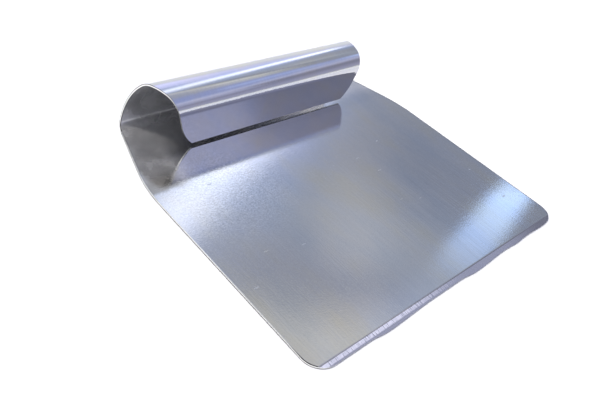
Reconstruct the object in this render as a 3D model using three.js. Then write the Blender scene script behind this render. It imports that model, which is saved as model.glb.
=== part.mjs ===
// Dough scraper bent from one sheet of stainless steel: a flat blade with a ground front edge, whose
// tapered back tongue is creased up and rolled forward into the handle.
// Millimetres, +Z up. +X runs along the handle and +Y from the ground edge back to the handle.
// The origin is on the plane that the blade lies on, under the middle of the whole tool.

import * as THREE from 'three';
import { toCreasedNormals } from 'three/addons/utils/BufferGeometryUtils.js';

const { degToRad } = THREE.MathUtils;

// Flat blank
const SHEET = 0.8; // thickness
const BLADE_WIDTH = 150; // between the straight sides
const BLADE_SIDE = 97.7; // front edge to the shoulders, where the tongue begins
const FRONT_CORNER_R = 8; // plan radius of the front corners
const SHOULDER_R = 60; // plan radius that blends a side into the tongue
const TONGUE_FLAT = 33.9; // shoulders to the crease
const TONGUE_TAPER = degToRad(16); // slant of each side of the tongue
const LIP_EASE = 8.4; // last stretch before the lip, where the sides curve further in
const LIP_EASE_R = 17; // plan radius of that curve

// Ground front edge
const GRIND_WIDTH = 3.1; // width of the bevel on the upper face
const EDGE_LAND = 0.3; // blunt thickness left at the very front

// Bends of the roll in order from the blade: radius to the middle of the sheet, and angle turned
const CREASE_R = 3.8;
const CREASE_TURN = degToRad(78);
const BACK_R = 20.5;
const BACK_TURN = degToRad(55);
const REAR_SHOULDER_R = 7.2;
const REAR_SHOULDER_TURN = degToRad(37);
const CROWN_R = 22.6;
const CROWN_TURN = degToRad(20);
const FRONT_SHOULDER_R = 7.5; // this bend turns whatever is left, so that the front wall hangs plumb
const WALL_HEADING = degToRad(270); // straight down, counted from the blade's own direction
const LIP_GAP = 1.4; // clearance between the lip and the blade's upper face

// Facets
const BEND_STEP = degToRad(6.2); // most that one facet turns round a bend
const PLAN_STEPS = 10; // facets along each curve of the blank's outline
const LEAST_STEP = 0.01; // stations closer than this are one station
const CREASED_ANGLE = degToRad(15); // edges sharper than this are shaded as edges

// Point and heading on a stretch of constant curvature, a distance along it.
function pointOn(stretch, distance) {
  const { y, z, heading, curvature } = stretch;
  if (curvature === 0) {
    return {
      y: y + distance * Math.cos(heading),
      z: z + distance * Math.sin(heading),
      heading,
    };
  }
  const turned = heading + distance * curvature;
  return {
    y: y + (Math.sin(turned) - Math.sin(heading)) / curvature,
    z: z - (Math.cos(turned) - Math.cos(heading)) / curvature,
    heading: turned,
  };
}

// The middle of the sheet, from the front edge to the lip, as stretches that carry on from each other.
const CREASE_START = BLADE_SIDE + TONGUE_FLAT;
const FRONT_SHOULDER_TURN = WALL_HEADING - CREASE_TURN - BACK_TURN - REAR_SHOULDER_TURN - CROWN_TURN;
const bends = [
  { radius: CREASE_R, turn: CREASE_TURN },
  { radius: BACK_R, turn: BACK_TURN },
  { radius: REAR_SHOULDER_R, turn: REAR_SHOULDER_TURN },
  { radius: CROWN_R, turn: CROWN_TURN },
  { radius: FRONT_SHOULDER_R, turn: FRONT_SHOULDER_TURN },
];

const stretches = [];
let end = { start: 0, y: 0, z: SHEET / 2, heading: 0 };

function addStretch(length, curvature) {
  const stretch = { ...end, length, curvature };
  stretches.push(stretch);
  end = { start: stretch.start + length, ...pointOn(stretch, length) };
  return stretch;
}

addStretch(CREASE_START, 0);
const bendStretches = bends.map(({ radius, turn }) => addStretch(radius * turn, 1 / radius));
addStretch(end.z - SHEET - LIP_GAP, 0);
const LIP_END = end.start;

function sheetAt(distance) {
  const stretch = stretches.findLast(({ start }) => distance >= start);
  return pointOn(stretch, distance - stretch.start);
}

// Outline of the blank before it is bent: half its width at a distance from the front edge.
const SHOULDER_TANGENT = SHOULDER_R * Math.tan(TONGUE_TAPER / 2);
const SHOULDER_START = BLADE_SIDE - SHOULDER_TANGENT;
const SHOULDER_END = BLADE_SIDE + SHOULDER_TANGENT * Math.cos(TONGUE_TAPER);
const EASE_START = LIP_END - LIP_EASE;

// How far a plan curve has come in after a run along the sheet, when it sets off at a slant.
function curveIn(radius, slant, run) {
  const reached = Math.asin(Math.sin(slant) + run / radius);
  return radius * (Math.cos(slant) - Math.cos(reached));
}

function halfWidth(distance) {
  const half = BLADE_WIDTH / 2;
  if (distance < FRONT_CORNER_R) {
    return half - FRONT_CORNER_R + Math.sqrt(distance * (2 * FRONT_CORNER_R - distance));
  }
  if (distance <= SHOULDER_START) {
    return half;
  }
  if (distance < SHOULDER_END) {
    return half - curveIn(SHOULDER_R, 0, distance - SHOULDER_START);
  }
  const straightRun = Math.min(distance, EASE_START) - BLADE_SIDE;
  const tapered = half - straightRun * Math.tan(TONGUE_TAPER);
  if (distance <= EASE_START) {
    return tapered;
  }
  return tapered - curveIn(LIP_EASE_R, TONGUE_TAPER, distance - EASE_START);
}

// Thickness of the sheet, which the grind takes from the upper face alone.
function thickness(distance) {
  const intoGrind = Math.min(distance / GRIND_WIDTH, 1);
  return EDGE_LAND + (SHEET - EDGE_LAND) * intoGrind;
}

// Stations along the sheet, wherever its outline, thickness or curvature changes.
function evenSteps(from, to, count) {
  return Array.from({ length: count + 1 }, (_, i) => from + ((to - from) * i) / count);
}

const cornerStations = evenSteps(0, Math.PI / 2, PLAN_STEPS).map(
  (angle) => FRONT_CORNER_R * (1 - Math.cos(angle)),
);
const bendStations = bendStretches.flatMap(({ start, length, curvature }) => {
  const facets = Math.ceil((length * curvature) / BEND_STEP);
  return evenSteps(start, start + length, facets);
});
const stations = [
  ...cornerStations,
  GRIND_WIDTH,
  ...evenSteps(SHOULDER_START, SHOULDER_END, PLAN_STEPS),
  ...bendStations,
  ...evenSteps(EASE_START, LIP_END, PLAN_STEPS),
]
  .sort((a, b) => a - b)
  .filter((distance, i, all) => i === 0 || distance - all[i - 1] > LEAST_STEP);

// Cross-section at a station, anticlockwise when seen from the front edge: outer face, then inner face.
function section(distance) {
  const { y, z, heading } = sheetAt(distance);
  const half = halfWidth(distance);
  const outer = -SHEET / 2;
  const inner = outer + thickness(distance);
  const corner = (x, offset) => [x, y - offset * Math.sin(heading), z + offset * Math.cos(heading)];
  return [corner(-half, outer), corner(half, outer), corner(half, inner), corner(-half, inner)];
}

// Closed solid of the sheet between two of its stations.
function sheetBetween(from, to) {
  const sections = stations
    .filter((distance) => distance >= from - LEAST_STEP && distance <= to + LEAST_STEP)
    .map(section);
  const last = 4 * (sections.length - 1);
  const indices = [0, 1, 2, 0, 2, 3];
  for (let near = 0; near < last; near += 4) {
    const far = near + 4;
    for (let k = 0; k < 4; k += 1) {
      const next = (k + 1) % 4;
      indices.push(near + k, far + k, far + next);
      indices.push(near + k, far + next, near + next);
    }
  }
  indices.push(last, last + 3, last + 2);
  indices.push(last, last + 2, last + 1);

  const geometry = new THREE.BufferGeometry();
  geometry.setAttribute('position', new THREE.Float32BufferAttribute(sections.flat(2), 3));
  geometry.setIndex(indices);
  return toCreasedNormals(geometry, CREASED_ANGLE);
}

// Flat blade, with its ground edge, front corners, shoulders and the flat part of the tongue
const satinSteel = new THREE.MeshStandardMaterial({ color: 0xc9ccd6, roughness: 0.32, metalness: 1 });
const blade = new THREE.Mesh(sheetBetween(0, CREASE_START), satinSteel);
blade.name = 'blade';

// Rolled handle, which goes on from the blade at the crease without a seam
const polishedSteel = new THREE.MeshStandardMaterial({ color: 0xc2c5d0, roughness: 0.16, metalness: 1 });
const rolledHandle = new THREE.Mesh(sheetBetween(CREASE_START, LIP_END), polishedSteel);
rolledHandle.name = 'rolled_handle';

const scraper = new THREE.Group();
scraper.add(blade, rolledHandle);

// The blade's underside is already at height 0, and the sheet is symmetric about X = 0.
const extent = new THREE.Box3().setFromObject(scraper);
scraper.position.y = -(extent.min.y + extent.max.y) / 2;

export default scraper;
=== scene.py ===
"""Dough scraper bent from one stainless steel sheet, on a pale studio floor.

The sheet is made the way the real one is: a flat blank is cut, ground along its front edge and deburred,
then creased up at the back and rolled forward into the handle.
"""

import math

import bmesh
import bpy
from bpy.props import FloatProperty, FloatVectorProperty, PointerProperty
from mathutils import Matrix, Quaternion, Vector


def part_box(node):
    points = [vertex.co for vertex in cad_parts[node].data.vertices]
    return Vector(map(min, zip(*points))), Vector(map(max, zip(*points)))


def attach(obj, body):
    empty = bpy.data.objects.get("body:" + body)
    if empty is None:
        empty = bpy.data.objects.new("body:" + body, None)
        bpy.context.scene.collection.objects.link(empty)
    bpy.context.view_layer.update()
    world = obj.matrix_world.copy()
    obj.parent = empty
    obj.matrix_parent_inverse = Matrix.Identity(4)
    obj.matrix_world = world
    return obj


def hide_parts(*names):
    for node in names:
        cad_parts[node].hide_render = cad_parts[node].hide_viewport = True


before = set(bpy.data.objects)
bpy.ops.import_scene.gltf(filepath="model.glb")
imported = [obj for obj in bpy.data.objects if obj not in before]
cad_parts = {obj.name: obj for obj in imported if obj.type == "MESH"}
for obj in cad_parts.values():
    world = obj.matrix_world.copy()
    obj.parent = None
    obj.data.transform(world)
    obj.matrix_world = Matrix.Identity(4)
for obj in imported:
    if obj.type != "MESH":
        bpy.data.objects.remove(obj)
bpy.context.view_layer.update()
BLADE_LOW, BLADE_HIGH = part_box("blade")

bl_info = {
    "name": "Dough scraper",
    "version": (1, 0, 0),
    "blender": (4, 5, 0),
    "location": "View3D > Sidebar > Scraper",
    "description": "Makes a dough scraper from one bent steel sheet, and its studio stage",
    "category": "Add Mesh",
}

MM = 0.001
PIECE_NAME = "scraper_sheet"
BLANK_PLACE = "blank"

# Facets of the mesh
PLAN_SEGMENTS = 24
DEBURR_SEGMENTS = 2
BEND_STEP = math.radians(2.8)
ROUND_PROFILE = 0.5  # bevel profile of a true arc
MERGE = 1e-7  # points closer than this, in metres, are one point
CORNER_MERGE = 50 * MERGE  # the same, after the corners are rounded
EASE_SHARE = 0.999  # share of the lip's ease that is rounded, so that the arc stops short of the lip's corner
SHARP_RIM = math.radians(30)  # edges that turn more than this are cut edges
FLAT_NORMAL = 0.99  # upright part of a face's normal, above which the face counts as flat

# Places where the uneven grind reaches the front: middle across the blade, reach to its left and to its
# right, in millimetres, and how much of the wander it makes up
EDGE_BULGES = [(-42, 9, 26, 1.0), (11, 10, 22, 1.0), (42, 10, 8, 0.5), (62, 10, 8, 0.4)]
EDGE_CUTS = 90  # cuts of the front edge that let it wander

# Order of the finishes on the piece
SHEET_FINISH = 0
GROUND_FINISH = 1
CUT_FINISH = 2


def linear(hex_colour):
    """Linear red, green and blue of an sRGB hex value."""
    channels = [int(hex_colour[i:i + 2], 16) / 255 for i in (1, 3, 5)]
    return [c / 12.92 if c <= 0.04045 else ((c + 0.055) / 1.055) ** 2.4 for c in channels]


def length_setting(name, description, millimetres):
    """A size that is written in millimetres and kept in metres."""
    return FloatProperty(
        name=name, description=description, default=millimetres * MM, min=0, unit="LENGTH", precision=5
    )


def angle_setting(name, description, degrees):
    """An angle that is written in degrees."""
    return FloatProperty(name=name, description=description, default=math.radians(degrees), subtype="ANGLE")


def colour_setting(name, description, hex_colour):
    """A colour that is written as an sRGB hex value."""
    return FloatVectorProperty(
        name=name, description=description, default=linear(hex_colour), min=0, max=1, subtype="COLOR"
    )


class ScraperBlank(bpy.types.PropertyGroup):
    """Sizes of the flat blank before it is bent."""

    sheet: length_setting("Sheet", "Thickness of the steel", 0.8)
    blade_width: length_setting(
        "Blade width", "Between the straight sides", (BLADE_HIGH.x - BLADE_LOW.x) / MM
    )
    blade_side: length_setting("Blade side", "Front edge to the shoulders", 97.7)
    front_corner: length_setting("Front corners", "Plan radius of the front corners", 8)
    shoulder: length_setting("Shoulders", "Plan radius from a side into the tongue", 60)
    crease_start: length_setting("Crease", "Front edge to the start of the crease", 131.6)
    taper: angle_setting("Taper", "Slant of each side of the tongue", 16)
    lip_ease: length_setting("Lip ease", "Last stretch, where the sides curve further in", 8.4)
    lip_ease_radius: length_setting("Lip ease radius", "Plan radius of that curve", 17)
    grind_width: length_setting("Grind", "Width of the ground bevel", 3.1)
    edge_land: length_setting("Edge land", "Blunt thickness left at the front", 0.3)
    edge_wander: length_setting("Edge wander", "How far the uneven grind falls short of the front", 0.75)
    deburr: length_setting("Deburr", "Rounding of the cut edges", 0.1)
    # Band along the cut on the upper face: painted shade of the upper corner, a painted highlight on the left
    painted_rim_band: length_setting("Rubbed band", "Band of the upper face that the deburring rubbed", 0.35)


class ScraperBends(bpy.types.PropertyGroup):
    """Bends of the roll from the blade to the lip: radius to the middle of the sheet, and angle turned."""

    crease_radius: length_setting("Crease radius", "Tight bend up from the blade", 3.8)
    crease_turn: angle_setting("Crease turn", "Angle of that bend", 78)
    back_radius: length_setting("Back radius", "Wide bend of the back wall", 20.5)
    back_turn: angle_setting("Back turn", "Angle of that bend", 55)
    rear_shoulder_radius: length_setting("Rear shoulder radius", "Bend from the back to the crown", 7.2)
    rear_shoulder_turn: angle_setting("Rear shoulder turn", "Angle of that bend", 37)
    crown_radius: length_setting("Crown radius", "Slow bend over the top", 22.6)
    crown_turn: angle_setting("Crown turn", "Angle of that bend", 20)
    front_shoulder_radius: length_setting("Front shoulder radius", "Bend from the crown to the wall", 7.5)
    wall_heading: angle_setting("Wall heading", "Whole turn at the front wall", 270)
    lip_gap: length_setting("Lip gap", "Clearance of the lip over the blade", 1.4)


class ScraperFinish(bpy.types.PropertyGroup):
    """Colours of the steel."""

    sheet_colour: colour_setting("Sheet", "Rolled face of the stainless sheet", "#d1d3d9")
    cool_colour: colour_setting("Cool haze", "Bluish patches of that face", "#cacfd9")
    warm_colour: colour_setting("Warm haze", "Handled, yellower patches of that face", "#d4d3d0")
    mill_colour: colour_setting("Mill skin", "Unpolished inside of the roll", "#d3d3d4")
    # Darker, browner patch at the tongue's left end, which dims what the steel mirrors there
    brown_patch_colour: colour_setting("Stain", "Handled corner of the tongue, at its left", "#8a857c")
    ground_colour: colour_setting("Grind", "Furrows of the ground bevel", "#f0f0ff")
    worn_colour: colour_setting("Worn grind", "Strip of the bevel that is worn smooth", "#c4c5d3")
    # Painted shade of the fine step between the bevel and the blade, which the bevel also takes on to the
    # right
    step_shade_colour: colour_setting("Grind step", "Shaded step between the bevel and the blade", "#95959e")
    cut_colour: colour_setting("Cut edge", "Burnished part of the sheared edge", "#f6f6f2")
    # Dark colour of the cut: torn steel, painted shadow under the edge, and painted shade of the upper corner
    torn_and_shade_colour: colour_setting("Torn edge", "Torn part of the sheared edge", "#454443")


class ScraperStage(bpy.types.PropertyGroup):
    """Camera and floor of the studio."""

    floor_colour: colour_setting("Floor", "Pale studio floor", "#f4f4f6")
    aim: FloatVectorProperty(
        name="Aim", description="Point that the camera looks at",
        default=(-0.02860, -0.00769, 0.0), subtype="TRANSLATION", unit="LENGTH", precision=5,
    )
    distance: length_setting("Distance", "Camera to that point", 241.22)
    azimuth: angle_setting("Azimuth", "Camera's turn round the scraper from its front", -52.86)
    elevation: angle_setting("Elevation", "Camera's height above the floor", 39.84)
    roll: angle_setting("Roll", "Tilt of the camera about its own line of sight", 16.8)
    lens: FloatProperty(
        name="Lens", description="Focal length on a 36 mm sensor", default=37.04, min=1, unit="CAMERA"
    )


def add_node(tree, kind, inputs=None, stops=(), **settings):
    """Adds a node. Inputs go by name or number, and take a value or the socket to link from.

    Stops are those of a colour ramp, which has two to begin with, as position and linear colour.
    """
    node = tree.nodes.new(kind)
    for name, value in settings.items():
        setattr(node, name, value)
    for key, value in (inputs or {}).items():
        if isinstance(value, bpy.types.NodeSocket):
            tree.links.new(value, node.inputs[key])
        else:
            node.inputs[key].default_value = value
    for _ in stops[2:]:
        node.color_ramp.elements.new(1.0)
    for i, (position, colour) in enumerate(stops):
        node.color_ramp.elements[i].position = position
        node.color_ramp.elements[i].color = (*colour, 1)
    return node


def new_material(name):
    """An empty node material and its output node."""
    material = bpy.data.materials.new(name)
    material.use_nodes = True
    material.node_tree.nodes.clear()
    return material, add_node(material.node_tree, "ShaderNodeOutputMaterial")


# Blank and bends


def bend_table(blank, bends):
    """Stretches of the middle of the sheet as (start, y, z, heading, curvature, length), front to lip."""
    turned = bends.crease_turn + bends.back_turn + bends.rear_shoulder_turn + bends.crown_turn
    rolled = [
        (bends.crease_radius, bends.crease_turn),
        (bends.back_radius, bends.back_turn),
        (bends.rear_shoulder_radius, bends.rear_shoulder_turn),
        (bends.crown_radius, bends.crown_turn),
        (bends.front_shoulder_radius, bends.wall_heading - turned),
    ]
    start, y, z, heading = 0.0, BLADE_LOW.y, blank.sheet / 2, 0.0
    table = [(start, y, z, heading, 0.0, blank.crease_start)]
    start += blank.crease_start
    y += blank.crease_start
    for radius, turn in rolled:
        table.append((start, y, z, heading, 1 / radius, radius * turn))
        y += radius * (math.sin(heading + turn) - math.sin(heading))
        z -= radius * (math.cos(heading + turn) - math.cos(heading))
        start += radius * turn
        heading += turn
    table.append((start, y, z, heading, 0.0, z - blank.sheet - bends.lip_gap))
    return table


def bent_point(table, x, distance, offset):
    """Where a point of the blank goes: distance is along the sheet, and offset from its middle."""
    start, y, z, heading, curvature, _ = [s for s in table if s[0] <= distance or s[0] == 0][-1]
    run = distance - start
    turned = heading + run * curvature
    if curvature:
        y += (math.sin(turned) - math.sin(heading)) / curvature
        z -= (math.cos(turned) - math.cos(heading)) / curvature
    else:
        y += run * math.cos(heading)
        z += run * math.sin(heading)
    return Vector((x, y - offset * math.sin(turned), z + offset * math.cos(turned)))


def round_corner(bm, corner, setback):
    """Rounds one corner of the flat outline, from a setback on one side to the same on the other."""
    bmesh.ops.bevel(
        bm, geom=[corner], offset=setback, offset_type="OFFSET", segments=PLAN_SEGMENTS,
        profile=ROUND_PROFILE, affect="VERTICES", material=-1,
    )


def cut_blank(bm, blank, lip_end):
    """Cuts the flat outline: half of it from six corners, rounded, then mirrored."""
    half = blank.blade_width / 2
    ease_start = lip_end - blank.lip_ease
    ease_half = half - (ease_start - blank.blade_side) * math.tan(blank.taper)
    lip_slant = math.asin(math.sin(blank.taper) + blank.lip_ease / blank.lip_ease_radius)
    ease_setback = blank.lip_ease_radius * math.tan((lip_slant - blank.taper) / 2)
    ease_corner = (
        ease_half - ease_setback * math.sin(blank.taper),
        ease_start + ease_setback * math.cos(blank.taper),
    )
    lip_half = ease_corner[0] - ease_setback * math.sin(lip_slant)
    front = blank.edge_wander
    corners = [
        (0, front), (half, front), (half, blank.blade_side), ease_corner, (lip_half, lip_end), (0, lip_end),
    ]
    verts = [bm.verts.new((x, y, 0)) for x, y in corners]
    bm.faces.new(verts)
    round_corner(bm, verts[1], blank.front_corner)
    round_corner(bm, verts[2], blank.shoulder * math.tan(blank.taper / 2))
    round_corner(bm, verts[3], ease_setback * EASE_SHARE)
    bmesh.ops.mirror(bm, geom=bm.verts[:] + bm.edges[:] + bm.faces[:], axis="X", merge_dist=MERGE)
    bmesh.ops.remove_doubles(bm, verts=bm.verts[:], dist=CORNER_MERGE)
    seam = [e for e in bm.edges if all(abs(v.co.x) < MERGE for v in e.verts)]
    bmesh.ops.dissolve_edges(bm, edges=seam, use_verts=True)


def wander_front(bm, blank):
    """Makes the straight front edge uneven, as it is ground by hand."""
    front = [e for e in bm.edges if all(abs(v.co.y - blank.edge_wander) < MERGE for v in e.verts)]
    longest = max(front, key=lambda e: e.calc_length())
    cuts = bmesh.ops.subdivide_edges(bm, edges=[longest], cuts=EDGE_CUTS)["geom_inner"]
    for vert in [g for g in cuts if isinstance(g, bmesh.types.BMVert)]:
        for middle, left_reach, right_reach, share in EDGE_BULGES:
            off = vert.co.x / MM - middle
            away = off / right_reach if off > 0 else -off / left_reach
            if away < 1:
                vert.co.y -= blank.edge_wander * share * (1 + math.cos(math.pi * away)) / 2


def thicken(bm, thickness):
    """Gives the flat outline the thickness of the sheet, upwards."""
    grown = bmesh.ops.extrude_face_region(bm, geom=bm.faces[:])["geom"]
    top = [g for g in grown if isinstance(g, bmesh.types.BMVert)]
    bmesh.ops.translate(bm, verts=top, vec=(0, 0, thickness))
    bmesh.ops.recalc_face_normals(bm, faces=bm.faces[:])


def grind_front(bm, blank):
    """Grinds the bevel along the upper front edge, down to the blunt land."""
    slope = math.atan2(blank.sheet - blank.edge_land, blank.grind_width)
    normal = Vector((0, -math.sin(slope), math.cos(slope)))
    cut = bmesh.ops.bisect_plane(
        bm, geom=bm.verts[:] + bm.edges[:] + bm.faces[:], dist=MERGE,
        plane_co=(0, 0, blank.edge_land), plane_no=normal, clear_outer=True,
    )["geom_cut"]
    rim = [g for g in cut if isinstance(g, bmesh.types.BMEdge)]
    ground = bmesh.ops.contextual_create(bm, geom=rim)["faces"]
    bmesh.ops.recalc_face_normals(bm, faces=bm.faces[:])
    for face in ground:
        face.material_index = GROUND_FINISH
        for edge in face.edges:
            if edge.calc_face_angle(0) < SHARP_RIM:
                edge.smooth = False


def deburr_rim(bm, width):
    """Takes the burr off every cut edge, and marks the faces of the cut."""
    rim = [e for e in bm.edges if e.calc_face_angle(0) > SHARP_RIM]
    bmesh.ops.bevel(
        bm, geom=rim, offset=width, offset_type="OFFSET", segments=DEBURR_SEGMENTS,
        profile=ROUND_PROFILE, affect="EDGES", material=-1, clamp_overlap=True,
    )
    bm.normal_update()
    for face in bm.faces:
        if face.material_index == SHEET_FINISH and abs(face.normal.z) < FLAT_NORMAL:
            face.material_index = CUT_FINISH


def paint_rim_band(bm, width):
    """Marks a band along the cut, not beside the bevel: painted shade, and a painted highlight along the
    left.
    """
    top = [f for f in bm.faces if f.normal.z > FLAT_NORMAL and f.material_index == SHEET_FINISH]
    band = bmesh.ops.inset_region(bm, faces=top, thickness=width, use_even_offset=True)["faces"]
    for face in band:
        beside = [other for edge in face.edges for other in edge.link_faces]
        if all(other.material_index != GROUND_FINISH for other in beside):
            face.material_index = CUT_FINISH


def score_bends(bm, table):
    """Cuts the flat blank across at every facet of its bends."""
    for start, _, _, _, curvature, length in table:
        facets = math.ceil(length * curvature / BEND_STEP)
        for i in range(facets + 1 if facets else 0):
            bmesh.ops.bisect_plane(
                bm, geom=bm.verts[:] + bm.edges[:] + bm.faces[:], dist=MERGE,
                plane_co=(0, start + length * i / facets, 0), plane_no=(0, 1, 0),
            )


def roll_up(bm, table, sheet):
    """Bends the blank by the table, and keeps each point's place on the flat blank for the finishes."""
    place = bm.verts.layers.float_vector.new(BLANK_PLACE)
    for vert in bm.verts:
        x, distance, height = vert.co
        vert[place] = vert.co
        vert.co = bent_point(table, x, distance, height - sheet / 2)
    bm.normal_update()


# Finishes

SMOOTH = "SMOOTHSTEP"
EVEN = "LINEAR"
NOISE_SPAN = (0.3, 0.7)  # values that a noise mostly keeps between

# Patterns of the rolled skin: size across, along and through the sheet, and where the pattern starts, in
# millimetres, then detail and roughness of the noise. The real lines of the grain are finer than 0.1 mm and
# are drawn 0.4 mm wide, so that they show.
SHEET_PATTERNS = {
    "haze": ((20, 40, 1), (0, 0, 0), 4, 0.6),
    "mottle": ((0.5, 0.5, 0.5), (0, 0, 0), 2, 0.6),
    "grain": ((0.4, 20, 1), (0, 0, 0), 2, 0.5),
    "wave": ((50, 50, 50), (0, 0, 0), 1, 0.5),
    "smears": ((8, 8, 8), (4, 4, 0), 3, 0.5),
}
SHEET_RELIEF = {"mottle": 0.014, "grain": 0.01, "wave": 0.25}  # heights in millimetres
HAZE_STOPS = (0.32, 0.5, 0.68)  # haze that is bluish, plain and warm

# Short scratches, one to a cell, in millimetres
SCRATCH_CELL = (16, 5, 16)
SCRATCH_SLANT = math.radians(35)
SCRATCH_ROUGHNESS = 0.2

# Middles of two patches on the blank, in millimetres: one at the right, where the grain's shading is
# stronger as painted sheen under a lamp's reflected band, and one before the left end of the roll, where
# the mottle's shading is stronger as painted glints under a lamp's reflection
SHEET_PATCHES = {"from_sheen_patch": (38, 22, 0), "from_glint_patch": (-48, 84, 0)}

# Ragged limits: how many millimetres the smears move them along the sheet, at most
RAGGED_LIMITS = {"ragged": 16, "wavy": 3}

# Shares that follow a pattern, or a distance in millimetres: what is followed, its value at the two ends, the
# share at the two ends, and how they blend
SHEET_SHARES = {
    "scratch": ("cells", 0.05, 0.09, 1, 0, SMOOTH),
    "skin_roughness": ("haze", *NOISE_SPAN, 0.05, 0.08, EVEN),
    "grain_roughness": ("mottle", 0.45, 0.65, 0, 0.04, EVEN),
    "patchy": ("smears", 0.35, 0.65, 0.55, 1, EVEN),
    "furrows": ("grain", *NOISE_SPAN, -0.06, 0.06, EVEN),
    "crystals": ("mottle", *NOISE_SPAN, -0.2, 0.2, EVEN),
    # Grain shading grows towards the patch of painted sheen
    "grain_and_sheen": ("from_sheen_patch", 48, 20, 0.35, 1, SMOOTH),
    # Mottle shading grows towards the patch of painted glints
    "mottle_and_glints": ("from_glint_patch", 36, 10, 0.15, 1, SMOOTH),
}

# Zones of the sheet, with the same columns. Ends on X are millimetres from the middle, and the others are
# millimetres past the start of the crease. A name in place of a share stands for the zone of that name.
SHEET_ZONES = {
    "polish": ("Y", -43, -34, 1, 0.35, SMOOTH),
    "unpolished": ("Y", -24, -12, 0, 1, SMOOTH),
    "filmed_middle": ("Y", -22, -8, 0.08, 1, EVEN),
    "filmed_across": ("X", -49, -60, "filmed_middle", 1, SMOOTH),
    "filmed_along": ("ragged", -33, -25, 0, 1, SMOOTH),
    "film_on_tongue": ("Y", -26, -14, 0.38, 0.2, EVEN),
    "film": ("Y", -8, 0, "film_on_tongue", 0.36, EVEN),
    # Patch at the tongue's left end where the skin is darker and browner, which dims what the steel mirrors
    # there
    "brown_patch_start": ("wavy", -39, -36.5, 0, 1, SMOOTH),
    "brown_patch_end": ("Y", -26, -35, 0, 1, SMOOTH),
    "brown_patch_side": ("X", -56, -66, 0, 0.72, SMOOTH),
}
MILL_ROUGHNESS = 0.22


def sheet_values(tree, blank, sizes):
    """Sockets by name: the place on the blank, the patterns of its skin, and the shares and zones above."""
    place = add_node(tree, "ShaderNodeVectorMath", {0: blank, "Scale": 1 / MM}, operation="SCALE")
    in_mm = place.outputs["Vector"]
    axes = add_node(tree, "ShaderNodeSeparateXYZ", {0: blank})
    values = {axis: axes.outputs[axis] for axis in "XYZ"}
    for name, (size, start, detail, roughness) in SHEET_PATTERNS.items():
        scale = [1 / side for side in size]
        shift = [-begin * share for begin, share in zip(start, scale)]
        laid = add_node(tree, "ShaderNodeMapping", {"Vector": in_mm, "Location": shift, "Scale": scale})
        noise = add_node(
            tree, "ShaderNodeTexNoise",
            {"Vector": laid.outputs["Vector"], "Scale": 1, "Detail": detail, "Roughness": roughness},
        )
        values[name] = noise.outputs["Fac"]

    slanted = add_node(
        tree, "ShaderNodeMapping",
        {"Vector": in_mm, "Rotation": (0, 0, SCRATCH_SLANT), "Scale": [1 / side for side in SCRATCH_CELL]},
    )
    cells = add_node(
        tree, "ShaderNodeTexVoronoi", {"Vector": slanted.outputs["Vector"], "Scale": 1, "Randomness": 1}
    )
    values["cells"] = cells.outputs["Distance"]
    for name, middle in SHEET_PATCHES.items():
        away = add_node(tree, "ShaderNodeVectorMath", {0: in_mm, 1: middle}, operation="DISTANCE")
        values[name] = away.outputs["Value"]
    for name, reach in RAGGED_LIMITS.items():
        moved = add_node(
            tree, "ShaderNodeMath", {0: values["smears"], 1: reach * MM, 2: values["Y"]},
            operation="MULTIPLY_ADD",
        )
        values[name] = moved.outputs[0]

    shares = dict(SHEET_SHARES)
    for name, (followed, begin, full, *rest) in SHEET_ZONES.items():
        origin = 0 if followed == "X" else sizes.crease_start
        shares[name] = (followed, origin + begin * MM, origin + full * MM, *rest)
    for name, (followed, begin, full, first, last, blend) in shares.items():
        share = add_node(
            tree, "ShaderNodeMapRange",
            {
                "Value": values[followed], "From Min": begin, "From Max": full,
                "To Min": values.get(first, first), "To Max": last,
            },
            interpolation_type=blend,
        )
        values[name] = share.outputs["Result"]
    return values


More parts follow.
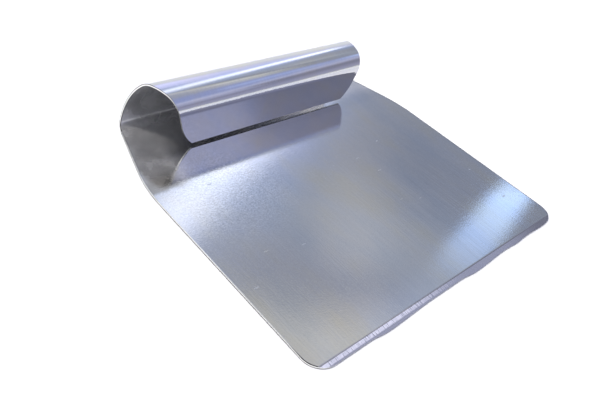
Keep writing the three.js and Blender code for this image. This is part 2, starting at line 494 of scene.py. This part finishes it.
def sheet_steel(scene):
    """Cold rolled stainless sheet, bright annealed and given a light brush finish.

    It is nearly a mirror, so it shows the roll in the blade. The rolled skin has a fine crystalline mottle
    that sparkles where a lamp is reflected, a faint grain from the ground edge to the handle, slow waves,
    hazy patches from handling, and a few short scratches. The mottle's shading is stronger in a patch where a
    lamp is reflected, as painted glints, and the grain's shading is stronger towards the right of the front,
    where another lamp's band is reflected, as painted sheen. The inside of the roll keeps the dull skin of
    the mill, because no polishing wheel reaches it. There, and at the left end of the tongue, a smeared film
    scatters a part of the light. The skin is darker and browner in a patch at the left, where the tongue
    leaves the blade, which dims what the steel mirrors there.
    """
    finish, sizes = scene.scraper_finish, scene.scraper_blank
    material, output = new_material("cold_rolled_stainless")
    tree = material.node_tree
    blank = add_node(tree, "ShaderNodeAttribute", attribute_name=BLANK_PLACE)
    values = sheet_values(tree, blank.outputs["Vector"], sizes)

    # Relief of the skin, in millimetres
    height = 0
    for name, tall in SHEET_RELIEF.items():
        relief = add_node(
            tree, "ShaderNodeMath", {0: values[name], 1: tall, 2: height}, operation="MULTIPLY_ADD"
        )
        height = relief.outputs[0]
    bump = add_node(tree, "ShaderNodeBump", {"Height": height, "Strength": 1, "Distance": MM})

    # Roughness: the dull grains of the mottle and the scratches scatter more, the polished tongue and roll
    # less. The inside of the roll, on the upper face of the blank, is unpolished.
    grainy = add_node(
        tree, "ShaderNodeMath", {0: values["skin_roughness"], 1: values["grain_roughness"]}, operation="ADD"
    )
    worn = add_node(
        tree, "ShaderNodeMath", {0: values["scratch"], 1: SCRATCH_ROUGHNESS, 2: grainy.outputs[0]},
        operation="MULTIPLY_ADD",
    )
    buffed = add_node(
        tree, "ShaderNodeMath", {0: worn.outputs[0], 1: values["polish"]}, operation="MULTIPLY"
    )
    upper = add_node(
        tree, "ShaderNodeMath", {0: values["Z"], 1: sizes.sheet / 2}, operation="GREATER_THAN"
    )
    inside = add_node(
        tree, "ShaderNodeMath", {0: values["unpolished"], 1: upper.outputs[0]}, operation="MULTIPLY"
    )
    rough = add_node(
        tree, "ShaderNodeMix", {0: inside.outputs[0], 2: buffed.outputs[0], 3: MILL_ROUGHNESS},
        data_type="FLOAT",
    )

    # Film on the upper face, inside the roll and at the tongue's left end, which hides a part of the metal
    handled = add_node(
        tree, "ShaderNodeMath", {0: values["filmed_along"], 1: values["filmed_across"]}, operation="MULTIPLY"
    )
    filmed = add_node(
        tree, "ShaderNodeMath", {0: handled.outputs[0], 1: upper.outputs[0]}, operation="MULTIPLY"
    )
    film = add_node(tree, "ShaderNodeMath", {0: values["patchy"], 1: values["film"]}, operation="MULTIPLY")
    hidden = add_node(
        tree, "ShaderNodeMath", {0: filmed.outputs[0], 1: film.outputs[0]}, operation="MULTIPLY"
    )
    bare = add_node(tree, "ShaderNodeMath", {0: 1, 1: hidden.outputs[0]}, operation="SUBTRACT")

    # Colour: the haze, the skin of the mill under the film, and a darker, browner patch at the tongue's left
    # end
    tints = (finish.cool_colour, finish.sheet_colour, finish.warm_colour)
    colour = add_node(
        tree, "ShaderNodeValToRGB", {0: values["haze"]}, stops=list(zip(HAZE_STOPS, tints))
    )
    skin = add_node(
        tree, "ShaderNodeMix",
        {0: filmed.outputs[0], 6: colour.outputs["Color"], 7: (*finish.mill_colour, 1)}, data_type="RGBA",
    )
    brown_patch_length = add_node(
        tree, "ShaderNodeMath", {0: values["brown_patch_start"], 1: values["brown_patch_end"]}, operation="MULTIPLY"
    )
    brown_patch = add_node(
        tree, "ShaderNodeMath", {0: brown_patch_length.outputs[0], 1: values["brown_patch_side"]}, operation="MULTIPLY"
    )
    with_brown_patch = add_node(
        tree, "ShaderNodeMix",
        {0: brown_patch.outputs[0], 6: skin.outputs["Result"], 7: (*finish.brown_patch_colour, 1)}, data_type="RGBA",
    )

    # Furrows of the grain are a shade darker and its ridges paler, most in the patch of painted sheen, and
    # the mottle shades the steel in the same way, most in the patch of painted glints
    grain_seen = add_node(
        tree, "ShaderNodeMath", {0: values["furrows"], 1: values["grain_and_sheen"], 2: 1}, operation="MULTIPLY_ADD"
    )
    mottle_seen = add_node(
        tree, "ShaderNodeMath", {0: values["crystals"], 1: values["mottle_and_glints"], 2: 1}, operation="MULTIPLY_ADD"
    )
    shade = add_node(
        tree, "ShaderNodeMath", {0: grain_seen.outputs[0], 1: mottle_seen.outputs[0]}, operation="MULTIPLY"
    )
    shaded = add_node(
        tree, "ShaderNodeVectorMath", {0: with_brown_patch.outputs["Result"], "Scale": shade.outputs[0]},
        operation="SCALE",
    )
    steel = add_node(
        tree, "ShaderNodeBsdfPrincipled",
        {
            "Base Color": shaded.outputs["Vector"], "Metallic": bare.outputs[0],
            "Roughness": rough.outputs["Result"], "Normal": bump.outputs["Normal"],
        },
    )
    tree.links.new(steel.outputs["BSDF"], output.inputs["Surface"])
    return material


# Furrows of the ground bevel, in millimetres: size across, along and through, and depth. The real ones are
# near 0.1 mm wide and are drawn 0.35 mm wide, so that they show.
FURROW_SIZE = (0.35, 6, 1)
FURROW_DEPTH = 0.05
FURROW_SLANT = math.radians(8)
FURROW_SPAN = (0.36, 0.5)  # noise of the furrows that turns from worn to fresh

# Limits on the bevel, in millimetres: from the front, and from the middle to the right
FURROW_START = (1.1, 1.7)
FURROW_FADE = (8, -40)
# Where the bevel turns to the colour of the step's painted shade, from the middle to the right
DARK_CORNER = (30, 66)
# Width of the line of painted shade for the step
STEP_WIDTH = 0.35

# Worn and fresh steel of the bevel
GROUND_ROUGHNESS = (0.25, 0.45)
GROUND_METALLIC = (0.9, 0.35)


def ground_steel(scene):
    """Stainless ground on a coarse wheel across the edge, by hand.

    The wheel leaves bright furrows from the blade towards the edge. They are deepest at the left and die out
    past the middle, and the strip next to the edge is worn smooth. A line of painted shade, for a fine shaded
    step, bounds the bevel on the blade. Towards the right corner the bevel turns to the colour of that line,
    and the step can't be told from it.
    """
    finish, sizes = scene.scraper_finish, scene.scraper_blank
    material, output = new_material("ground_stainless")
    tree = material.node_tree
    blank = add_node(tree, "ShaderNodeAttribute", attribute_name=BLANK_PLACE)
    axes = add_node(tree, "ShaderNodeSeparateXYZ", {0: blank.outputs["Vector"]})
    across = add_node(
        tree, "ShaderNodeMapping",
        {
            "Vector": blank.outputs["Vector"], "Rotation": (0, 0, FURROW_SLANT),
            "Scale": [1 / (side * MM) for side in FURROW_SIZE],
        },
    )
    furrow = add_node(
        tree, "ShaderNodeTexNoise",
        {"Vector": across.outputs["Vector"], "Scale": 1, "Detail": 3, "Roughness": 0.6},
    )
    bump = add_node(
        tree, "ShaderNodeBump",
        {"Height": furrow.outputs["Fac"], "Strength": 1, "Distance": FURROW_DEPTH * MM},
    )

    # Where the furrows are left: towards the blade, and from the left to past the middle
    towards_blade, towards_left, to_right = (
        add_node(
            tree, "ShaderNodeMapRange",
            {"Value": axes.outputs[axis], "From Min": begin * MM, "From Max": full * MM},
            interpolation_type=SMOOTH,
        )
        for axis, (begin, full) in (("Y", FURROW_START), ("X", FURROW_FADE), ("X", DARK_CORNER))
    )
    streaky = add_node(
        tree, "ShaderNodeMapRange",
        {"Value": furrow.outputs["Fac"], "From Min": FURROW_SPAN[0], "From Max": FURROW_SPAN[1]},
    )
    kept = add_node(
        tree, "ShaderNodeMath", {0: towards_blade.outputs["Result"], 1: towards_left.outputs["Result"]},
        operation="MULTIPLY",
    )
    fresh = add_node(
        tree, "ShaderNodeMath", {0: kept.outputs[0], 1: streaky.outputs["Result"]}, operation="MULTIPLY"
    )
    colour = add_node(
        tree, "ShaderNodeMix",
        {0: fresh.outputs[0], 6: (*finish.worn_colour, 1), 7: (*finish.ground_colour, 1)},
        data_type="RGBA",
    )
    # Torn furrows are rougher and scatter a part of the light
    rough, bare = (
        add_node(tree, "ShaderNodeMapRange", {"Value": fresh.outputs[0], "To Min": worn, "To Max": torn})
        for worn, torn in (GROUND_ROUGHNESS, GROUND_METALLIC)
    )

    # The step at the blade is painted shade, and the bevel turns to the same colour towards the right corner
    step = add_node(
        tree, "ShaderNodeMath", {0: axes.outputs["Y"], 1: sizes.grind_width - STEP_WIDTH * MM},
        operation="GREATER_THAN",
    )
    right_darkened = add_node(
        tree, "ShaderNodeMix",
        {0: to_right.outputs["Result"], 6: colour.outputs["Result"], 7: (*finish.step_shade_colour, 1)},
        data_type="RGBA",
    )
    shaded = add_node(
        tree, "ShaderNodeMix", {0: step.outputs[0], 6: right_darkened.outputs["Result"], 7: (*finish.step_shade_colour, 1)},
        data_type="RGBA",
    )
    steel = add_node(
        tree, "ShaderNodeBsdfPrincipled",
        {
            "Base Color": shaded.outputs["Result"], "Metallic": bare.outputs["Result"],
            "Roughness": rough.outputs["Result"], "Normal": bump.outputs["Normal"],
        },
    )
    tree.links.new(steel.outputs["BSDF"], output.inputs["Surface"])
    return material


# Limits of the torn and the burnished steel up through the cut, as shares of the sheet: most of the way
# round, and along the left side, which is burnished up to its top. Below the burnished part the dark colour
# is torn steel and painted shadow under the edge, and above it painted shade of the upper corner
CUT_LIMITS = (0.32, 0.36, 0.93, 0.97)
LEFT_CUT_LIMITS = (0.5, 0.55)
CUT_ROUGHNESS = (0.22, 0.36)

# Torn streaks, in millimetres
TEAR_SPACING = 0.3
TEAR_DEPTH = 0.02


def cut_steel(scene):
    """Sheared stainless edge, deburred on a belt, and the band of painted shade along it on the upper face.

    The shear burnishes the upper part of the cut, which draws a pale line round the sheet, and tears the
    lower part, which stays darker, and its dark colour also stands for the shadow under the edge, as painted
    shadow. The top of the cut and the band are painted dark too, as painted shade of the upper corner, but
    pale along the left side as far as the crease, where the cut is burnished up to its top, as a painted
    highlight.
    """
    finish, sizes = scene.scraper_finish, scene.scraper_blank
    material, output = new_material("sheared_stainless")
    tree = material.node_tree
    blank = add_node(tree, "ShaderNodeAttribute", attribute_name=BLANK_PLACE)
    axes = add_node(tree, "ShaderNodeSeparateXYZ", {0: blank.outputs["Vector"]})
    across = add_node(
        tree, "ShaderNodeMath", {0: axes.outputs["Z"], 1: sizes.sheet}, operation="DIVIDE"
    )
    # The dark colour is torn steel, with painted shadow under the edge, and painted shade of the upper corner
    torn, burnished = finish.torn_and_shade_colour, finish.cut_colour
    around, along_left = (
        add_node(tree, "ShaderNodeValToRGB", {0: across.outputs[0]}, stops=list(zip(limits, colours)))
        for limits, colours in (
            (CUT_LIMITS, (torn, burnished, burnished, torn)), (LEFT_CUT_LIMITS, (torn, burnished))
        )
    )
    left = add_node(tree, "ShaderNodeMath", {0: axes.outputs["X"], 1: 0}, operation="LESS_THAN")
    past_corner = add_node(
        tree, "ShaderNodeMapRange",
        {"Value": axes.outputs["Y"], "From Min": sizes.front_corner, "From Max": 2 * sizes.front_corner},
    )
    before_crease = add_node(
        tree, "ShaderNodeMath", {0: axes.outputs["Y"], 1: sizes.crease_start}, operation="LESS_THAN"
    )
    left_side = add_node(
        tree, "ShaderNodeMath", {0: left.outputs[0], 1: past_corner.outputs["Result"]}, operation="MULTIPLY"
    )
    left_edge = add_node(
        tree, "ShaderNodeMath", {0: left_side.outputs[0], 1: before_crease.outputs[0]}, operation="MULTIPLY"
    )
    colour = add_node(
        tree, "ShaderNodeMix",
        {0: left_edge.outputs[0], 6: around.outputs["Color"], 7: along_left.outputs["Color"]},
        data_type="RGBA",
    )
    tears = add_node(
        tree, "ShaderNodeTexNoise",
        {"Vector": blank.outputs["Vector"], "Scale": 1 / (TEAR_SPACING * MM), "Detail": 2, "Roughness": 0.6},
    )
    bump = add_node(
        tree, "ShaderNodeBump",
        {"Height": tears.outputs["Fac"], "Strength": 1, "Distance": TEAR_DEPTH * MM},
    )
    rough = add_node(
        tree, "ShaderNodeMapRange",
        {
            "Value": tears.outputs["Fac"], "From Min": NOISE_SPAN[0], "From Max": NOISE_SPAN[1],
            "To Min": CUT_ROUGHNESS[0], "To Max": CUT_ROUGHNESS[1],
        },
    )
    steel = add_node(
        tree, "ShaderNodeBsdfPrincipled",
        {
            "Base Color": colour.outputs["Result"], "Metallic": 1, "Roughness": rough.outputs["Result"],
            "Normal": bump.outputs["Normal"],
        },
    )
    tree.links.new(steel.outputs["BSDF"], output.inputs["Surface"])
    return material


class SCRAPER_OT_sheet(bpy.types.Operator):
    """Cut, grind, deburr and roll the steel sheet"""

    bl_idname = "mesh.scraper_sheet_add"
    bl_label = "Scraper Sheet"
    bl_options = {"REGISTER", "UNDO"}

    def execute(self, context):
        blank, bends = context.scene.scraper_blank, context.scene.scraper_bends
        table = bend_table(blank, bends)
        lip_end = table[-1][0] + table[-1][-1]
        bm = bmesh.new()
        cut_blank(bm, blank, lip_end)
        wander_front(bm, blank)
        thicken(bm, blank.sheet)
        grind_front(bm, blank)
        deburr_rim(bm, blank.deburr)
        paint_rim_band(bm, blank.painted_rim_band)
        score_bends(bm, table)
        roll_up(bm, table, blank.sheet)
        for face in bm.faces:
            face.smooth = True
        if any(not e.is_manifold for e in bm.edges):
            raise RuntimeError("the scraper's sheet isn't closed")
        mesh = bpy.data.meshes.new(PIECE_NAME)
        bm.to_mesh(mesh)
        bm.free()
        for make_finish in (sheet_steel, ground_steel, cut_steel):
            mesh.materials.append(make_finish(context.scene))
        piece = bpy.data.objects.new(PIECE_NAME, mesh)
        context.scene.collection.objects.link(piece)
        even = piece.modifiers.new("even_shading", "WEIGHTED_NORMAL")
        even.keep_sharp = True
        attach(piece, "root")
        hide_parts("blade", "rolled_handle")
        return {"FINISHED"}


# Stage

# Strip lamps: name, ends of the strip and width in metres, share of the width that is soft edge, colour, and
# radiance of the middle line at the two ends
STRIP_LAMPS = [
    ("back_strip", (0.020, 0.243, 0.338), (0.720, 0.580, 0.393), 0.112, 1.0, "#ffffff", 0.74, 1.3),
    ("back_halo", (0.020, 0.240, 0.338), (0.760, 0.600, 0.396), 0.28, 1.0, "#9cbcff", 0.25, 0.35),
    ("back_glow", (0.274, 0.678, 0.400), (0.576, 0.450, 0.400), 0.30, 0.8, "#d6d4ff", 1.1, 0.1),
    ("mid_glow", (0.800, 0.600, 0.530), (0.906, 0.423, 1.000), 0.32, 1.0, "#fff2dc", 0.12, 0.13),
    ("near_glow", (0.488, 0.270, 0.783), (0.620, 0.193, 0.707), 0.18, 1.0, "#fff4e4", 0.16, 0.18),
    ("side_strip", (0.215, 0.009, 0.204), (0.501, 0.075, 0.242), 0.047, 0.4, "#b2d2ff", 0.05, 1.95),
    ("side_glow", (0.085, -0.019, 0.187), (0.220, 0.010, 0.205), 0.08, 1.0, "#c8dcff", 0.22, 0.12),
    ("front_glow", (0.184, -0.472, 0.344), (0.380, -0.334, 0.344), 0.25, 1.0, "#d4d9ff", 0.3, 0.3),
]
LAMP_END_SOFT = 0.12  # share of a lamp's length that fades at each end
LAMP_MIDDLE = 0.5  # places along and across a lamp run from 0 to 1

# Lamp that throws the rim's shadow on the tongue. It lights what scatters light, and is not mirrored.
OVERHEAD = ("overhead", (-0.310, 0.276, 0.832), (-0.260, 0.332, 0.832), 0.080, 0.5, "#fffaf4", 450, 450)

# Studio walls and ceiling, as elevation in degrees and colour: all round, and to the front right
BACK_TONES = [
    (0, "#ffffff"),
    (17, "#ffffff"),
    (22, "#dcdcf0"),
    (27, "#a2a9b9"),
    (32, "#959baa"),
    (35, "#9da4b4"),
    (40, "#b6bcc6"),
    (45, "#a6aab8"),
    (48, "#afb2b9"),
    (50, "#cfcfcb"),
    (52, "#dededa"),
    (55, "#d2d2da"),
    (58, "#b8bbc8"),
    (90, "#b6b9c4"),
]
FRONT_TONES = [
    (0, "#ffffff"),
    (3, "#ffffff"),
    (6, "#b8b9cc"),
    (15, "#acacc6"),
    (24, "#9a9ab0"),
    (29, "#9798aa"),
    (32, "#a3a2b6"),
    (35, "#bcbcd4"),
    (38, "#ccd0ee"),
    (45, "#abb5e0"),
    (54, "#abb4de"),
    (62, "#b6b9c4"),
    (90, "#b6b9c4"),
]

# Where the tones turn to those of the front right: the lesser of a direction's parts to the right and to the
# front, at the beginning and at the end of the turn
FRONT_TURN = (-0.05, 0.15)

ROLL_BOUNCES = 16  # reflections that are followed, for the inside of the roll

# Floor, in metres, and the glow that lifts it to white, near the scraper and far off
FLOOR_RADIUS = 4.0
FLOOR_SEGMENTS = 96
FLOOR_GAP = 0.00005
PAPER_ROUGHNESS = 0.9
FLOOR_LIFT = 0.12
FAR_LIFT = 0.8
LIFT_REACH = (0.15, 1)

# Camera
SENSOR_WIDTH = 36  # millimetres
CLIP_START = 0.005  # metres


def make_floor(stage):
    """Pale floor that keeps the scraper's shadow. A glow that lights no matt surface lifts it to white."""
    bm = bmesh.new()
    bmesh.ops.create_circle(
        bm, cap_ends=True, segments=FLOOR_SEGMENTS, radius=FLOOR_RADIUS,
        matrix=Matrix.Translation((0, 0, -FLOOR_GAP)),
    )
    mesh = bpy.data.meshes.new("floor")
    bm.to_mesh(mesh)
    bm.free()
    material, output = new_material("matt_white_paper")
    tree = material.node_tree
    ray = add_node(tree, "ShaderNodeLightPath")
    seen = add_node(
        tree, "ShaderNodeMath",
        {0: ray.outputs["Is Camera Ray"], 1: ray.outputs["Is Glossy Ray"]}, operation="MAXIMUM",
    )
    shown = add_node(
        tree, "ShaderNodeMath", {0: seen.outputs[0], 1: ray.outputs["Is Transmission Ray"]},
        operation="MAXIMUM",
    )
    where = add_node(tree, "ShaderNodeTexCoord")
    away = add_node(tree, "ShaderNodeVectorMath", {0: where.outputs["Object"]}, operation="LENGTH")
    needed = add_node(
        tree, "ShaderNodeMapRange",
        {
            "Value": away.outputs["Value"], "From Min": LIFT_REACH[0], "From Max": LIFT_REACH[1],
            "To Min": FLOOR_LIFT, "To Max": FAR_LIFT,
        },
        interpolation_type=SMOOTH,
    )
    lift = add_node(
        tree, "ShaderNodeMath", {0: shown.outputs[0], 1: needed.outputs["Result"]}, operation="MULTIPLY"
    )
    paper = add_node(
        tree, "ShaderNodeBsdfPrincipled",
        {
            "Base Color": (*stage.floor_colour, 1), "Roughness": PAPER_ROUGHNESS,
            "Specular IOR Level": 0,
            "Emission Color": (1, 1, 1, 1), "Emission Strength": lift.outputs[0],
        },
    )
    tree.links.new(paper.outputs["BSDF"], output.inputs["Surface"])
    mesh.materials.append(material)
    floor = bpy.data.objects.new("floor", mesh)
    bpy.context.scene.collection.objects.link(floor)


def make_lamp(name, start, end, width, soft_share, hex_colour, start_radiance, end_radiance):
    """Strip lamp with soft edges, turned to the scraper."""
    start, end = Vector(start), Vector(end)
    middle = (start + end) / 2
    along = (end - start).normalized()
    back = middle - along * middle.dot(along)
    back.normalize()
    light = bpy.data.lights.new(name, "AREA")
    light.shape = "RECTANGLE"
    light.size = (end - start).length
    light.size_y = width
    light.energy = math.pi * light.size * light.size_y
    light.color = linear(hex_colour)
    light.use_nodes = True
    tree = light.node_tree
    tree.nodes.clear()
    where = add_node(tree, "ShaderNodeNewGeometry")
    axes = add_node(tree, "ShaderNodeSeparateXYZ", {0: where.outputs["Parametric"]})
    end_fold, side_fold = (
        add_node(tree, "ShaderNodeMath", {0: axes.outputs[axis], 1: LAMP_MIDDLE}, operation="PINGPONG")
        for axis in "XY"
    )
    end_soft, side_soft = (
        add_node(
            tree, "ShaderNodeMapRange", {"Value": fold.outputs[0], "From Max": reach},
            interpolation_type=SMOOTH,
        )
        for fold, reach in ((end_fold, LAMP_END_SOFT), (side_fold, LAMP_MIDDLE * soft_share))
    )
    level = add_node(
        tree, "ShaderNodeMapRange",
        {"Value": axes.outputs["X"], "To Min": start_radiance, "To Max": end_radiance},
    )
    soft = add_node(
        tree, "ShaderNodeMath", {0: end_soft.outputs["Result"], 1: side_soft.outputs["Result"]},
        operation="MULTIPLY",
    )
    strength = add_node(
        tree, "ShaderNodeMath", {0: soft.outputs[0], 1: level.outputs["Result"]}, operation="MULTIPLY"
    )
    glow = add_node(tree, "ShaderNodeEmission", {"Strength": strength.outputs[0]})
    out = add_node(tree, "ShaderNodeOutputLight")
    tree.links.new(glow.outputs["Emission"], out.inputs["Surface"])
    lamp = bpy.data.objects.new(name, light)
    lamp.matrix_world = Matrix.Translation(middle) @ Matrix(
        (along, back.cross(along), back)
    ).transposed().to_4x4()
    lamp.visible_camera = False
    bpy.context.scene.collection.objects.link(lamp)
    return lamp


def make_world():
    """Studio round the scraper: white at the horizon, then grey walls, which are bluer to the front right."""
    world = bpy.data.worlds.new("studio")
    world.use_nodes = True
    tree = world.node_tree
    tree.nodes.clear()
    where = add_node(tree, "ShaderNodeTexCoord")
    axes = add_node(tree, "ShaderNodeSeparateXYZ", {0: where.outputs["Generated"]})
    all_round, to_front = (
        add_node(
            tree, "ShaderNodeValToRGB", {0: axes.outputs["Z"]},
            stops=[(math.sin(math.radians(elevation)), linear(tone)) for elevation, tone in tones],
        )
        for tones in (BACK_TONES, FRONT_TONES)
    )
    forward = add_node(tree, "ShaderNodeMath", {0: axes.outputs["Y"], 1: -1}, operation="MULTIPLY")
    front_right = add_node(
        tree, "ShaderNodeMath", {0: axes.outputs["X"], 1: forward.outputs[0]}, operation="MINIMUM"
    )
    turn = add_node(
        tree, "ShaderNodeMapRange",
        {"Value": front_right.outputs[0], "From Min": FRONT_TURN[0], "From Max": FRONT_TURN[1]},
    )
    studio = add_node(
        tree, "ShaderNodeMix",
        {0: turn.outputs["Result"], 6: all_round.outputs["Color"], 7: to_front.outputs["Color"]},
        data_type="RGBA",
    )
    glow = add_node(tree, "ShaderNodeBackground", {"Color": studio.outputs["Result"], "Strength": 1})
    out = add_node(tree, "ShaderNodeOutputWorld")
    tree.links.new(glow.outputs["Background"], out.inputs["Surface"])
    bpy.context.scene.world = world


def make_camera(stage):
    """Camera at the photograph's viewing angle."""
    aim = Vector(stage.aim)
    flat = math.cos(stage.elevation)
    back = Vector(
        (math.sin(stage.azimuth) * flat, -math.cos(stage.azimuth) * flat, math.sin(stage.elevation))
    )
    data = bpy.data.cameras.new("camera")
    data.sensor_width = SENSOR_WIDTH
    data.lens = stage.lens
    data.clip_start = CLIP_START
    camera = bpy.data.objects.new("camera", data)
    camera.rotation_mode = "QUATERNION"
    camera.location = aim + back * stage.distance
    camera.rotation_quaternion = (-back).to_track_quat("-Z", "Y") @ Quaternion((0, 0, 1), stage.roll)
    bpy.context.scene.collection.objects.link(camera)
    bpy.context.scene.camera = camera


class SCRAPER_OT_stage(bpy.types.Operator):
    """Add the floor, the studio's lamps and the camera"""

    bl_idname = "scene.scraper_stage_add"
    bl_label = "Scraper Stage"
    bl_options = {"REGISTER", "UNDO"}

    def execute(self, context):
        stage = context.scene.scraper_stage
        make_floor(stage)
        make_world()
        for lamp in STRIP_LAMPS:
            make_lamp(*lamp)
        make_lamp(*OVERHEAD).visible_glossy = False
        make_camera(stage)
        context.scene.view_settings.view_transform = "Standard"
        context.scene.cycles.max_bounces = ROLL_BOUNCES
        context.scene.cycles.glossy_bounces = ROLL_BOUNCES
        return {"FINISHED"}


class SCRAPER_PT_panel(bpy.types.Panel):
    """Sizes, finishes and stage of the dough scraper"""

    bl_label = "Dough Scraper"
    bl_idname = "SCRAPER_PT_panel"
    bl_space_type = "VIEW_3D"
    bl_region_type = "UI"
    bl_category = "Scraper"

    def draw(self, context):
        scene = context.scene
        groups = (scene.scraper_blank, scene.scraper_bends, scene.scraper_finish, scene.scraper_stage)
        for group in groups:
            box = self.layout.box()
            for name in group.__annotations__:
                box.prop(group, name)
        self.layout.operator(SCRAPER_OT_sheet.bl_idname)
        self.layout.operator(SCRAPER_OT_stage.bl_idname)


SETTINGS = {
    "scraper_blank": ScraperBlank,
    "scraper_bends": ScraperBends,
    "scraper_finish": ScraperFinish,
    "scraper_stage": ScraperStage,
}
CLASSES = [*SETTINGS.values(), SCRAPER_OT_sheet, SCRAPER_OT_stage, SCRAPER_PT_panel]


def register():
    for cls in CLASSES:
        bpy.utils.register_class(cls)
    for name, group in SETTINGS.items():
        setattr(bpy.types.Scene, name, PointerProperty(type=group))


def unregister():
    for name in SETTINGS:
        delattr(bpy.types.Scene, name)
    for cls in reversed(CLASSES):
        bpy.utils.unregister_class(cls)


def main():
    register()
    bpy.ops.mesh.scraper_sheet_add()
    bpy.ops.scene.scraper_stage_add()


if __name__ == "__main__":
    main()
